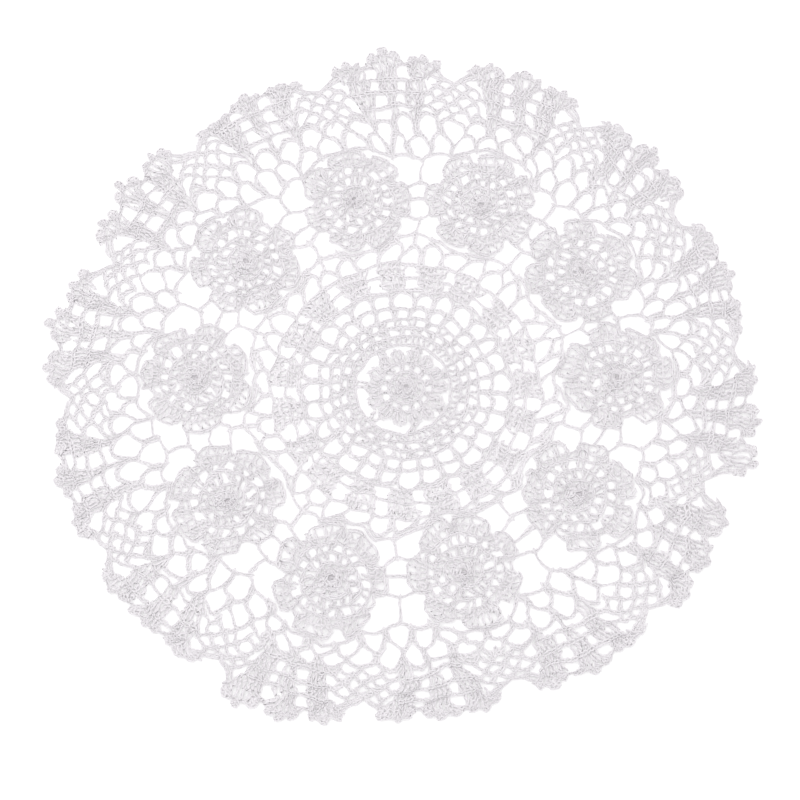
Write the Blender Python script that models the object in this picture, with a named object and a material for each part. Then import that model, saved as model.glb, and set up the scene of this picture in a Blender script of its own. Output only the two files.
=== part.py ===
"""A round lace doily, crocheted in white cotton thread, lying flat.

A medallion with its net of chain arches is the middle. Ten rosettes are worked one by one
and joined round it, and a border of two rounds of open arches and fourteen scallops is worked
round them. Each piece is a thin sheet with its gaps cut through, and its clusters of
stitches stand up from the chains.

The layout is worked out in millimetres from the middle of the medallion, with bearings in
degrees counter-clockwise from +X. The meshes are made in metres, with the underside at z = 0
and the middle of the outline at the origin.
"""
import math
from collections import namedtuple

import bmesh
import bpy
import numpy as np
from mathutils import Vector
from mathutils.geometry import delaunay_2d_cdt

# ---------------------------------------------------------------- driving sizes, millimetres
MM = 0.001                  # metres in a millimetre
CHAIN = 2.2                 # width of one chain of stitches
DOUBLE = 2.6                # width where two chains run side by side
JOIN = 0.3                  # space left at the single stitch that joins two pieces

EDGE_HEIGHT = 1.5           # height of the chains, and of every edge
SUNK = 0.9                  # height over a gap that is too small to be cut
FLAT_STITCH = 1.9           # height of plain rows
RAISED = 2.5                # height of a shell or a petal
CROWN = 2.8                 # height of a hub and of the knots

GAP_SIDES = 8
SMALLEST_GAP, SMALL_GAP = 1.5, 2.0      # a cut gap's least and mean reach from its middle
RAY_LENGTH, RAY_STEPS = 3.0, 301        # fine steps outward, in shares of a cell's own size

# ---------------------------------------------------------------- how the cloth was laid
Rosette = namedtuple("Rosette", "bearing distance")
ROSETTES = (
    Rosette(3, 112.4), Rosette(35, 115), Rosette(69, 114), Rosette(104, 112), Rosette(140.5, 113),
    Rosette(177, 112), Rosette(213.5, 111.3), Rosette(249.5, 111.5), Rosette(287, 104),
    Rosette(326.5, 107),
)
# the notch at the start of each scallop, and how far the tips of its three fans reach
Scallop = namedtuple("Scallop", "bearing notch first middle last")
SCALLOPS = (
    Scallop(7, 176, 185, 190, 189), Scallop(33.5, 176, 193, 197, 194),
    Scallop(57.5, 183, 197, 200, 198), Scallop(81.5, 182, 199, 203, 197),
    Scallop(105.5, 182, 194, 196, 190), Scallop(130.5, 181, 198, 199, 194),
    Scallop(156, 175, 192, 197, 193), Scallop(182.5, 179, 187, 191, 188),
    Scallop(209.5, 178, 188, 187, 185), Scallop(237, 174, 190, 189, 184),
    Scallop(262.5, 168, 177, 178, 176), Scallop(289, 163, 178, 180, 180),
    Scallop(316, 172, 183, 184, 182), Scallop(341.5, 164, 189, 189, 187),
)
COLUMNS = 70                # arches in each round of the border
ROSETTE_COLUMNS = COLUMNS // len(ROSETTES)
SCALLOP_COLUMNS = COLUMNS // len(SCALLOPS)
FIRST_ROSETTE = -1          # column of the first rosette's middle
PLAIN_TURN = 3.6            # bearing of column 0 near the middle

# ---------------------------------------------------------------- rosettes
PETAL_TIP = 30.5            # reach of a petal from its rosette's middle
PETAL_FOOT = 21.5           # where two petals part
PETAL_TURNS = (0, 52, 105, 156, 204, 255, 308)      # from the outward direction
AHEAD, BEHIND = 2, 5        # the petals that meet the next rosette and the one before
CLOSED_PAIR = (3, 4)        # two petals so near each other that no gap shows between them
PETAL_SIDE = 26.0           # reach at which a petal is widest
PETAL_SHOULDER = 29.9
PETAL_HALF = 19.5           # half the width of a petal, in degrees
PETAL_ROUND = 4.0           # degrees from a side to its shoulder, and from the middle to a tip
LINK_WIDTH = 3.0            # width of the stitch that ties two rosettes
LINK_TURN = 3.0             # a joined petal's middle lies this far out from the tie, degrees
HOLES_ROUND = 14            # small holes in each of a rosette's two open rounds
Ring = namedtuple("Ring", "count reach turn height")
ROSETTE_RINGS = (
    Ring(1, 0, 0, SUNK), Ring(7, 4.5, 0, CROWN), Ring(7, 9.3, 25.7, RAISED),
    Ring(HOLES_ROUND, 12.8, 12.9, SUNK), Ring(HOLES_ROUND, 15.6, 0, FLAT_STITCH),
    Ring(HOLES_ROUND, 18.3, 12.9, SUNK),
)
PetalMark = namedtuple("PetalMark", "reach turn height")
PETAL_MARKS = (
    PetalMark(21.5, 0, RAISED), PetalMark(25.5, -7, RAISED), PetalMark(25.5, 7, RAISED),
    PetalMark(28.5, 0, RAISED),
)

# ---------------------------------------------------------------- chains round the rosettes
RIM = PETAL_TIP + JOIN + CHAIN / 2      # middle of the chain, from a rosette's middle
Side = namedtuple("Side", "turn sweep half_arc edge_steps valley bulge bar_end bar_middle")
OUTSIDE = Side(0, 50, 2.0, 8, 24.6, 2.4, 9.5, 12.0)
INSIDE = Side(180, -27, 1.25, 4, -19.5, -0.6, -7.4, -10.2)
BULGE_SHARES = (0.3, 0.65)              # where the edge of a bulging chain bends

# ---------------------------------------------------------------- rounds of the border
RIM_VALLEY, RIM_BULGE = 130.1, 13.4     # the chain round the rosettes, were they laid evenly
RIM_ROUND = 30.0                        # degrees of a rosette's top that one column spans
EDGE_ROUND = 175.0                      # distance of the notches, likewise
FAN_TIP = 192.0                         # distance of the fans' tips, likewise
ArchTop = namedtuple("ArchTop", "valley added")
FIRST_ARCH = ArchTop(144.5, 7.5)        # top of the arches in a valley, and added at a rosette
SECOND_ARCH = ArchTop(155.0, 3.5)
FIRST_FORK, SECOND_FORK = 0.40, 0.36    # where two arches part, as a share of their height
SLITS = 0.5                             # the first arches this near a rosette's top are closed
FANS = (0.225, 0.5, 0.775)              # middles of the fans, as shares of a scallop
PICOT_PITCH = 0.078                     # of the three picots on a fan
PICOT_HALF = 0.025
PICOT_HEIGHT = 5.4
PICOT_DROP = 1.9                        # the outer picots lie this much lower
PICOT_DIP = 1.4
Flank = namedtuple("Flank", "share distance")
FLANK = (Flank(0.045, 179.6), Flank(0.095, 184.2))  # from a notch up to the first fan
BETWEEN_FANS = Flank(0.3625, 186.8)
Square = namedtuple("Square", "share half_share low high cord")
SQUARES = (                             # the open gap on each side of a scallop's middle stem
    Square(0.402, 0.053, 168.0, 175.4, 1.8), Square(0.598, 0.053, 168.0, 175.4, 1.8),
)
Mark = namedtuple("Mark", "share distance height")
SCALLOP_MARKS = (                       # small gaps sunk, stems and fans raised
    Mark(0.0, 165.0, SUNK), Mark(0.1, 158.5, SUNK), Mark(0.9, 158.5, SUNK),
    Mark(0.15, 163.5, SUNK), Mark(0.85, 163.5, SUNK), Mark(0.12, 171.0, SUNK),
    Mark(0.88, 171.0, SUNK), Mark(0.405, 157.5, SUNK), Mark(0.595, 157.5, SUNK),
    Mark(0.41, 164.2, SUNK), Mark(0.59, 164.2, SUNK), Mark(0.385, 179.4, SUNK),
    Mark(0.615, 179.4, SUNK),
    Mark(0.0, 171.0, CROWN),
    Mark(0.305, 160.0, RAISED), Mark(0.5, 160.0, RAISED), Mark(0.695, 160.0, RAISED),
    Mark(0.3, 168.0, RAISED), Mark(0.5, 168.0, RAISED), Mark(0.7, 168.0, RAISED),
    Mark(0.27, 176.0, RAISED), Mark(0.5, 176.0, RAISED), Mark(0.73, 176.0, RAISED),
    Mark(0.225, 184.0, RAISED), Mark(0.5, 184.0, RAISED), Mark(0.775, 184.0, RAISED),
)

# ---------------------------------------------------------------- rounds of the middle
ARCHES, ARCH_TURN = 28, 2.5             # open arches round the medallion, and the first one
ARCH_CROTCH, ARCH_FORK, ARCH_SHOULDER, ARCH_TOP = 43.8, 46.6, 53.6, 55.2
ARCH_SHOULDER_TURN = 4.0                # degrees from an arch's top to its shoulder
MEDALLION_RINGS = (
    Ring(1, 0, 0, SUNK), Ring(7, 4.5, 0, CROWN), Ring(7, 8.5, 25, RAISED),
    Ring(14, 11.5, 12.4, SUNK), Ring(14, 16.0, 0, RAISED), Ring(14, 20.5, 12.8, CROWN),
    Ring(14, 24.4, 0, SUNK), Ring(14, 28.5, 12.8, RAISED), Ring(14, 33.0, 0, FLAT_STITCH),
    Ring(28, 37.2, 2.5, SUNK), Ring(28, 41.0, 9.0, SUNK),
)
WINDOWS, WINDOW_TURN = 19, -7.5         # windows between the shells, in two rows
LOW_WINDOW = 59.4                       # distance of the lower row
WINDOW_CORD = 1.4
Post = namedtuple("Post", "distance half_width")
WINDOW_POSTS = (Post(64.2, 4.3), Post(71.6, 5.1))   # corners of an upper window
SHELL_ROWS = (59.5, 68.0)
SHELL_SIDE = Post(63.5, 3.9)
NET_START, NET_TOP = 72.4, 81.0         # first net round beyond the shells
NET_RIM, NET_RIM_VALLEY = 79.2, 86.2    # chain along the rosettes, were they laid evenly
NET_ARCHES = 40                         # four to a rosette, one of them facing each valley
NET_FOOT, NET_HOLE = 1.5, 3.6           # added to the start of the net

COTTON = (0.83, 0.82, 0.825, 1.0)
COTTON_ROUGHNESS = 0.8


# ---------------------------------------------------------------- points of the layout
UNEVEN_STEPS = (92.617, 557.801, 268.936)       # radians a stitch, far from any whole turn


def polar(distance, bearing):
    angle = math.radians(bearing)
    return np.array((distance * math.cos(angle), distance * math.sin(angle)))


def bearing_of(point):
    return math.degrees(math.atan2(point[1], point[0]))


def uneven(size, *counts):
    """A small steady offset, different for each stitch, as hand work has."""
    stitch = sum(count * step for count, step in zip(counts, UNEVEN_STEPS))
    return size * math.sin(stitch)


def rosette_middle(k):
    row = ROSETTES[k % len(ROSETTES)]
    return polar(row.distance, row.bearing)


def rosette_point(k, reach, turn):
    """A point of rosette k, where turn 0 faces away from the medallion."""
    return rosette_middle(k) + polar(reach, ROSETTES[k % len(ROSETTES)].bearing + turn)


def valley_frame(k):
    """Between rosettes k and k + 1: the middle, the way across, the way out, half the distance."""
    start, end = rosette_middle(k), rosette_middle(k + 1)
    across = (end - start) / np.linalg.norm(end - start)
    outward = np.array((across[1], -across[0]))
    return (start + end) / 2, across, outward, np.linalg.norm(end - start) / 2


def valley_point(k, x, y):
    middle, across, outward, _ = valley_frame(k)
    return middle + across * x + outward * y


def nearest_rosette(column):
    k = round((column - FIRST_ROSETTE) / ROSETTE_COLUMNS)
    return k, column - (FIRST_ROSETTE + ROSETTE_COLUMNS * k)


def rim(column, side):
    """The chain along one side of the rosettes, at a column of the border."""
    k, offset = nearest_rosette(column)
    if abs(offset) <= side.half_arc:
        return rosette_point(k, RIM, side.turn + side.sweep * offset / side.half_arc)
    way = 1 if offset > 0 else -1
    corner = rosette_point(k, RIM, side.turn + way * side.sweep)
    share = (abs(offset) - side.half_arc) / (ROSETTE_COLUMNS / 2 - side.half_arc)
    return bulging(k if way > 0 else k - 1, side, corner, side.valley, share)


def bulging(k, side, corner, valley, share):
    """A point of the chain that bulges between a rosette and the middle of valley k."""
    outward = valley_frame(k)[2]
    middle = valley_point(k, 0, valley)
    return corner + (middle - corner) * share + outward * side.bulge * math.sin(math.pi * share)


def mixed(start, end, share):
    """Between two points, by bearing and distance."""
    turn = (bearing_of(end) - bearing_of(start) + 180) % 360 - 180
    reach = np.linalg.norm(start) + (np.linalg.norm(end) - np.linalg.norm(start)) * share
    return polar(reach, bearing_of(start) + turn * share)


def scallop_at(column):
    return divmod(column / SCALLOP_COLUMNS, 1)


def notch_line(column):
    """Where a column crosses the round that the notches lie on."""
    m, share = scallop_at(column)
    here, after = (SCALLOPS[int(m + i) % len(SCALLOPS)] for i in (0, 1))
    start, end = polar(here.notch, here.bearing), polar(after.notch, after.bearing)
    return mixed(start, end, share)


def fan_reach(column):
    """How far the cloth reaches beyond the notch round, for each millimetre of an even one."""
    m, share = scallop_at(column)
    row = SCALLOPS[int(m) % len(SCALLOPS)]
    reaches = [
        (tip - np.linalg.norm(notch_line(SCALLOP_COLUMNS * (m + fan)))) / (FAN_TIP - EDGE_ROUND)
        for fan, tip in zip(FANS, (row.first, row.middle, row.last))
    ]
    return float(np.interp(share, FANS, reaches))


def border(column, distance):
    """A point of the border, from its place in an evenly laid one."""
    _, offset = nearest_rosette(column)
    even_rim = RIM_VALLEY + RIM_BULGE * max(0.0, math.cos(math.radians(RIM_ROUND * offset)))
    edge = notch_line(column)
    if distance <= EDGE_ROUND:
        share = (distance - even_rim) / (EDGE_ROUND - even_rim)
        return mixed(rim(column, OUTSIDE), edge, share)
    beyond = (distance - EDGE_ROUND) * fan_reach(column)
    return edge * (1 + beyond / np.linalg.norm(edge))


def round_top(column, level):
    """Distance of an arch's top, which lies further out over a rosette than in a valley."""
    _, offset = nearest_rosette(column)
    return level.valley + level.added * math.cos(math.pi * offset / ROSETTE_COLUMNS) ** 2


def first_top(column):
    distance = round_top(column, FIRST_ARCH) + uneven(0.7, column)
    return border(column + uneven(0.08, column, 1), distance)


def first_fork(column):
    foot, top = rim(column, OUTSIDE), border(column, round_top(column, FIRST_ARCH))
    return foot + (top - foot) * FIRST_FORK


def second_top(column):
    return border(column, round_top(column, SECOND_ARCH) + uneven(0.6, column, 2))


def second_fork(column):
    foot, top = first_top(column), border(column, round_top(column, SECOND_ARCH))
    return foot + (top - foot) * SECOND_FORK


def middle_ring(column, distance):
    """A point of the net between the shells and the rosettes."""
    _, offset = nearest_rosette(column)
    even_rim = NET_RIM + (NET_RIM_VALLEY - NET_RIM) * (2 * abs(offset) / ROSETTE_COLUMNS) ** 1.3
    start = polar(NET_START, PLAIN_TURN + column * 360 / COLUMNS)
    share = min(1.0, (distance - NET_START) / (even_rim - NET_START))
    return mixed(start, rim(column, INSIDE), share)


# ---------------------------------------------------------------- cutting the gaps
def opening(corners, widths):
    """The gap inside a cell of cords: rounded, and half a cord's width in from each.

    corners go round the cell, and widths are those of the cords from each corner to the next.
    None if less than about four millimetres is left.
    """
    corners = np.array(corners)
    after = np.roll(corners, -1, axis=0)
    along = after - corners
    halves = np.array(widths) / 2
    cross = corners[:, 0] * after[:, 1] - after[:, 0] * corners[:, 1]
    middle = ((corners + after) * cross[:, None]).sum(axis=0) / (3 * cross.sum())

    # rays leave the middle evenly in the cell's own long and short directions
    size, axes = np.linalg.eigh(np.cov((np.vstack((corners, (corners + after) / 2)) - middle).T))
    steps = np.linspace(0.0, RAY_LENGTH, RAY_STEPS)
    points = []
    for i in range(GAP_SIDES):
        angle = 2 * math.pi * (i + 0.25) / GAP_SIDES
        way = (axes * np.sqrt(size)) @ np.array((math.cos(angle), math.sin(angle)))
        ray = middle + steps[:, None, None] * way
        share = np.clip(((ray - corners) * along).sum(2) / (along ** 2).sum(1), 0, 1)
        apart = np.linalg.norm(ray - corners - along * share[:, :, None], axis=2)
        clear = (apart > halves).all(axis=1)
        points.append(ray[max(0, np.argmin(clear) - 1), 0])
    reach = np.linalg.norm(np.array(points) - middle, axis=1)
    return np.array(points) if reach.min() > SMALLEST_GAP and reach.mean() > SMALL_GAP else None


def counter_clockwise(loop):
    loop = np.array(loop)
    after = np.roll(loop, -1, axis=0)
    area = (loop[:, 0] * after[:, 1] - after[:, 0] * loop[:, 1]).sum()
    return loop if area > 0 else loop[::-1]


# ---------------------------------------------------------------- making a sheet
def cut_flat(loops, inner_points):
    """Triangles of the sheet inside loops[0] and outside the other loops."""
    points = [Vector(p) for loop in loops for p in loop] + [Vector(p) for p in inner_points]
    faces, start = [], 0
    for loop in loops:
        faces.append(list(range(start, start + len(loop))))
        start += len(loop)
    _, _, triangles, sources, _, owners = delaunay_2d_cdt(points, [], faces, 1, 1e-6, True)
    return [
        [sources[v][0] for v in triangle]
        for triangle, owner in zip(triangles, owners)
        if list(owner) == [0]
    ]


def lace_sheet(name, outline, gaps, relief, middle):
    """One closed sheet with a flat underside, its gaps cut through, and raised stitches."""
    loops = [counter_clockwise(loop) for loop in [outline] + gaps]
    edge_count = sum(len(loop) for loop in loops)
    bottom = cut_flat(loops, [])
    top = cut_flat(loops, [place for place, _ in relief])

    mesh = bmesh.new()
    flat = [p for loop in loops for p in loop]
    under = [mesh.verts.new(((p[0] - middle[0]) * MM, (p[1] - middle[1]) * MM, 0)) for p in flat]
    heights = [EDGE_HEIGHT] * edge_count + [height for _, height in relief]
    over = [
        mesh.verts.new(((p[0] - middle[0]) * MM, (p[1] - middle[1]) * MM, height * MM))
        for p, height in zip(flat + [place for place, _ in relief], heights)
    ]
    for triangle in bottom:
        mesh.faces.new([under[v] for v in reversed(triangle)])
    for triangle in top:
        mesh.faces.new([over[v] for v in triangle])
    start = 0
    for number, loop in enumerate(loops):
        for i in range(len(loop)):
            a, b = start + i, start + (i + 1) % len(loop)
            wall = [under[a], under[b], over[b], over[a]]
            mesh.faces.new(wall if number == 0 else wall[::-1])
        start += len(loop)
    bmesh.ops.recalc_face_normals(mesh, faces=mesh.faces)

    data = bpy.data.meshes.new(name)
    mesh.to_mesh(data)
    mesh.free()
    data.materials.append(cotton(name))
    piece = bpy.data.objects.new(name, data)
    bpy.context.scene.collection.objects.link(piece)
    return piece


def cotton(name):
    material = bpy.data.materials.new("cotton_" + name)
    material.use_nodes = True
    shader = material.node_tree.nodes["Principled BSDF"]
    shader.inputs["Base Color"].default_value = COTTON
    shader.inputs["Roughness"].default_value = COTTON_ROUGHNESS
    shader.inputs["Metallic"].default_value = 0.0
    return material


# ---------------------------------------------------------------- the ten rosettes
def petal_middles(k):
    """Turns of the petals' middles; the two joined ones follow the neighbours."""
    bearing = ROSETTES[k % len(ROSETTES)].bearing
    turns = list(PETAL_TURNS)
    ahead = bearing_of(rosette_middle(k + 1) - rosette_middle(k)) - bearing
    behind = bearing_of(rosette_middle(k - 1) - rosette_middle(k)) - bearing
    turns[AHEAD] = ahead % 360 - LINK_TURN
    turns[BEHIND] = behind % 360 + LINK_TURN
    return turns


def tie(k, ahead):
    """The four corners of the stitch that reaches the next rosette, by growing turn."""
    half_distance = valley_frame(k if ahead else k - 1)[3]
    foot = half_distance - math.sqrt(PETAL_TIP ** 2 - (LINK_WIDTH / 2) ** 2)
    corners = [(foot, 1), (JOIN / 2, 1), (JOIN / 2, -1), (foot, -1)]
    if ahead:
        return [valley_point(k, -x, y * LINK_WIDTH / 2) for x, y in corners]
    return [valley_point(k - 1, x, -y * LINK_WIDTH / 2) for x, y in corners]


def rosette_outline(k):
    points = []
    turns = petal_middles(k)
    for petal, turn in enumerate(turns):
        before = turns[petal - 1] - (360 if petal == 0 else 0)
        if petal == CLOSED_PAIR[1]:
            points.append(rosette_point(k, PETAL_SIDE, (before + turn) / 2))
        else:
            points.append(rosette_point(k, PETAL_FOOT, (before + turn) / 2))
            points.append(rosette_point(k, PETAL_SIDE, turn - PETAL_HALF))
        points.append(rosette_point(k, PETAL_SHOULDER, turn - PETAL_HALF + PETAL_ROUND))
        if petal in (AHEAD, BEHIND):
            points += tie(k, petal == AHEAD)
        else:
            points.append(rosette_point(k, PETAL_TIP, turn - PETAL_ROUND))
            points.append(rosette_point(k, PETAL_TIP, turn + PETAL_ROUND))
        points.append(rosette_point(k, PETAL_SHOULDER, turn + PETAL_HALF - PETAL_ROUND))
        if petal != CLOSED_PAIR[0]:
            points.append(rosette_point(k, PETAL_SIDE, turn + PETAL_HALF))
    return points


def rosette_relief(k):
    """The hub, the two rounds of small holes, and the raised petals."""
    relief = [
        (rosette_point(k, ring.reach, ring.turn + i * 360 / ring.count), ring.height)
        for ring in ROSETTE_RINGS for i in range(ring.count)
    ]
    for turn in petal_middles(k):
        for mark in PETAL_MARKS:
            relief.append((rosette_point(k, mark.reach, turn + mark.turn), mark.height))
    return relief


# ---------------------------------------------------------------- the middle piece
def branch(k, side):
    """The strand and bar of one side's chain that fill a valley, in order across it."""
    half_distance = valley_frame(k)[3]
    out = 1 if side is OUTSIDE else -1
    inner = abs(side.bar_end) - CHAIN / 2
    reach = half_distance - math.sqrt(PETAL_TIP ** 2 - inner ** 2) - JOIN
    half = CHAIN / 2
    left = [
        (-half, side.valley - out * half), (-half, side.bar_middle + out * half),
        (-reach, side.bar_end + out * half), (-reach, side.bar_end - out * half),
    ]
    right = [(-x, y) for x, y in reversed(left)]
    return [valley_point(k, x, y) for x, y in left + [(0, side.bar_middle - out * half)] + right]


def rim_edge(k, side):
    """The edge of the chain that faces rosette k, and the valley after it."""
    step = side.sweep * 2 / side.edge_steps
    reach = (RIM - CHAIN / 2) / math.cos(math.radians(step / 2))
    turns = [side.turn - side.sweep + i * step for i in range(side.edge_steps + 1)]
    arc = [rosette_point(k, reach, turn) for turn in turns]
    after = rosette_point(k + 1, reach, side.turn - side.sweep)
    valley = side.valley - CHAIN / 2 * (1 if side is OUTSIDE else -1)
    falling = [bulging(k, side, arc[-1], valley, share) for share in BULGE_SHARES]
    rising = [bulging(k, side, after, valley, share) for share in reversed(BULGE_SHARES)]
    return arc + falling + branch(k, side) + rising


def arch_separator(i):
    """Bearing of the separator before arch i of the open round."""
    i = i % ARCHES
    return ARCH_TURN + (i - 0.5) * 360 / ARCHES + uneven(1.0, i)


def middle_gaps():
    gaps = []
    for i in range(ARCHES):
        start, end = arch_separator(i), arch_separator(i + 1)
        top = start + ((end - start) % 360) / 2
        corners = [
            polar(ARCH_CROTCH, top), polar(ARCH_FORK, end),
            polar(ARCH_SHOULDER, top + ARCH_SHOULDER_TURN),
            polar(ARCH_TOP + uneven(0.5, i, 3), top),
            polar(ARCH_SHOULDER, top - ARCH_SHOULDER_TURN), polar(ARCH_FORK, start),
        ]
        gaps.append(opening(corners, [CHAIN] * 6))
    for i in range(WINDOWS):
        turn = WINDOW_TURN + i * 360 / WINDOWS
        low, high = WINDOW_POSTS
        corners = [
            polar(post.distance, turn + way * math.degrees(post.half_width / post.distance))
            for post, way in ((low, -1), (high, -1), (high, 1), (low, 1))
        ]
        gaps.append(opening(corners, [WINDOW_CORD] * 4))
    for k in range(len(ROSETTES)):
        for way in (-0.5, 0.5):
            column = net_column(4 * k + way)
            low, high = net_column(4 * k + way - 0.5), net_column(4 * k + way + 0.5)
            corners = [
                middle_ring(column, NET_START + NET_FOOT), middle_ring(high, NET_TOP),
                rim(high, INSIDE), rim(column, INSIDE), rim(low, INSIDE),
                middle_ring(low, NET_TOP),
            ]
            gaps.append(opening(corners, [CHAIN] * 6))
    return [gap for gap in gaps if gap is not None]


def net_column(i):
    """Column of the top of net arch i; every fourth faces a valley."""
    return FIRST_ROSETTE + ROSETTE_COLUMNS / 2 + i * COLUMNS / NET_ARCHES


def middle_relief():
    """Rounds of the medallion, the shells, and the small gaps of the net."""
    relief = [
        (polar(ring.reach, ring.turn + i * 360 / ring.count), ring.height)
        for ring in MEDALLION_RINGS for i in range(ring.count)
    ]
    side = math.degrees(SHELL_SIDE.half_width / SHELL_SIDE.distance)
    for i in range(WINDOWS):
        turn = WINDOW_TURN + i * 360 / WINDOWS
        shell = turn + 180 / WINDOWS
        relief.append((polar(LOW_WINDOW, turn), SUNK))
        relief += [(polar(reach, shell), RAISED) for reach in SHELL_ROWS]
        relief += [(polar(SHELL_SIDE.distance, shell + way * side), FLAT_STITCH) for way in (-1, 1)]
    for i in range(NET_ARCHES):
        relief.append((middle_ring(net_column(i), NET_START + NET_HOLE), SUNK))
    return relief


# ---------------------------------------------------------------- the border
def border_gaps():
    gaps = []
    for j in range(COLUMNS):
        if abs(nearest_rosette(j + 0.5)[1]) > SLITS:
            corners = [
                rim(j, OUTSIDE), rim(j + 0.5, OUTSIDE), rim(j + 1, OUTSIDE), first_fork(j + 1),
                first_top(j + 0.5), first_fork(j),
            ]
            gaps.append(opening(corners, [CHAIN, CHAIN, DOUBLE, CHAIN, CHAIN, DOUBLE]))
        corners = [
            first_fork(j), first_top(j + 0.5), second_fork(j + 0.5), second_top(j),
            second_fork(j - 0.5), first_top(j - 0.5),
        ]
        gaps.append(opening(corners, [CHAIN, DOUBLE, CHAIN, CHAIN, DOUBLE, CHAIN]))
    for m in range(len(SCALLOPS)):
        for square in SQUARES:
            corners = [
                border(SCALLOP_COLUMNS * (m + square.share + way * square.half_share), distance)
                for distance, way in ((square.low, -1), (square.high, -1), (square.high, 1),
                                      (square.low, 1))
            ]
            gaps.append(opening(corners, [square.cord] * 4))
    return [gap for gap in gaps if gap is not None]


def scallop_outline(m):
    """The edge of scallop m: its notch, then three fans with three picots each."""
    marks = [Flank(0, EDGE_ROUND + CHAIN / 2)] + list(FLANK)
    for number, fan in enumerate(FANS):
        for picot in (-1, 0, 1):
            tip = FAN_TIP - PICOT_DROP * abs(picot)
            share = fan + picot * PICOT_PITCH
            if picot > -1:
                between = FAN_TIP - PICOT_DROP / 2 - PICOT_DIP
                marks.append(Flank(share - PICOT_PITCH / 2, between))
            marks += [Flank(share - PICOT_HALF, tip), Flank(share + PICOT_HALF, tip)]
        if number < 2:
            share = BETWEEN_FANS.share
            marks.append(Flank(share if number == 0 else 1 - share, BETWEEN_FANS.distance))
    marks += [Flank(1 - mark.share, mark.distance) for mark in reversed(FLANK)]
    return [border(SCALLOP_COLUMNS * (m + mark.share), mark.distance) for mark in marks]


def border_relief():
    """Small gaps of the scallops, their three stems and fans, and the knots along the edge."""
    relief = []
    for m in range(len(SCALLOPS)):
        for mark in SCALLOP_MARKS:
            place = border(SCALLOP_COLUMNS * (m + mark.share), mark.distance)
            relief.append((place, mark.height))
        for fan in FANS:
            for picot in (-1, 0, 1):
                column = SCALLOP_COLUMNS * (m + fan + picot * PICOT_PITCH)
                distance = FAN_TIP - PICOT_HEIGHT / 2 - PICOT_DROP * abs(picot)
                relief.append((border(column, distance), CROWN))
    return relief


# ---------------------------------------------------------------- building
def build():
    for old in list(bpy.data.objects):
        bpy.data.objects.remove(old)

    outline = [p for m in range(len(SCALLOPS)) for p in scallop_outline(m)]
    middle = (np.max(outline, axis=0) + np.min(outline, axis=0)) / 2
    inner_edge = [p for k in range(len(ROSETTES)) for p in rim_edge(k, OUTSIDE)]
    lace_sheet("border", outline, [inner_edge] + border_gaps(), border_relief(), middle)

    outer_edge = [p for k in range(len(ROSETTES)) for p in rim_edge(k, INSIDE)]
    lace_sheet("centre", outer_edge, middle_gaps(), middle_relief(), middle)

    for k in range(len(ROSETTES)):
        name = "rosette_%02d" % (k + 1)
        lace_sheet(name, rosette_outline(k), [], rosette_relief(k), middle)


build()
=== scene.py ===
"""The look of a round crochet doily in white cotton, stitch by stitch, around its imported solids.

Lengths are in millimetres from the medallion's middle, with bearings in degrees
counter-clockwise from +X, and become metres where a mesh is made.
"""
import math
from collections import namedtuple

import bpy
import numpy as np
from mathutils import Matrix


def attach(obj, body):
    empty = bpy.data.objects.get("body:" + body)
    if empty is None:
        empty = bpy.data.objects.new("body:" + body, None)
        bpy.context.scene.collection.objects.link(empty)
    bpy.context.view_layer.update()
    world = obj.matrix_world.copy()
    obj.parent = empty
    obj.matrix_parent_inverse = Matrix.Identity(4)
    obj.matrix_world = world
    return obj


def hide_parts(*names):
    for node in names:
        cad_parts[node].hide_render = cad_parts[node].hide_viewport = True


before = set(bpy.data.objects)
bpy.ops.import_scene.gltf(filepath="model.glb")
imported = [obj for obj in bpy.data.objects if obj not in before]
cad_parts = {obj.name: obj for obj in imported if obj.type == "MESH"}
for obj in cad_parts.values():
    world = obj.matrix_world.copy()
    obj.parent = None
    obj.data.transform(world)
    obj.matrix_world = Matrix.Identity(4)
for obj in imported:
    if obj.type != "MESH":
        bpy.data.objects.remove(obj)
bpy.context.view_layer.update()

# ====================================================================== the medallion
# The doily is begun here, with a ring of chains, a wheel of double crochet, a rose of fourteen
# small petals and close rounds behind it, then two open rounds of arches. White cotton thread,
# size 10, worked in the round with a steel hook.
MM = 0.001
MEDALLION = np.array((2.765, -11.477))  # its middle, seen from the middle of the doily's box
THREAD = 1.0                            # thickness of the thread, pressed a little flat
LYING = THREAD / 2 + 0.03               # height of the middle of a thread that lies on the table

# A stitch is one loop of thread: where it starts and ends, how high its middle lies at each end,
# how far apart its two legs are, and how far it turns on its side, in half turns.
Stitch = namedtuple("Stitch", "start end low high width twist")


def polar(distance, bearing):
    angle = math.radians(bearing)
    return np.array((distance * math.cos(angle), distance * math.sin(angle)))


def bearing_of(point):
    return math.degrees(math.atan2(point[1], point[0]))


CURVE_STEPS = 8                         # straight steps between two points of a soft curve


def smooth(points, closed=False):
    """Close points on a soft curve through the given ones."""
    points = np.array(points)
    if closed:
        points = np.vstack((points[-1], points, points[:2]))
    else:
        points = np.vstack((2 * points[0] - points[1], points, 2 * points[-1] - points[-2]))
    shares = np.linspace(0, 1, CURVE_STEPS, endpoint=False)[:, None]
    curve = []
    for a, b, c, d in zip(points, points[1:], points[2:], points[3:]):
        curve.append(b + (c - a) * shares / 2 + (2 * a - 5 * b + 4 * c - d) * shares ** 2 / 2
                     + (3 * b - a - 3 * c + d) * shares ** 3 / 2)
    return np.vstack(curve + [points[-2]])


CHAIN_PITCH = 2.6                       # length of one chain stitch
CHAIN_WIDTH = 1.36                      # between the middles of its two legs
CHAIN_REACH = 1.7                       # a loop's length in pitches: its head lies over the next
CHAIN_HIGH = 1.15                       # height of its head


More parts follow.
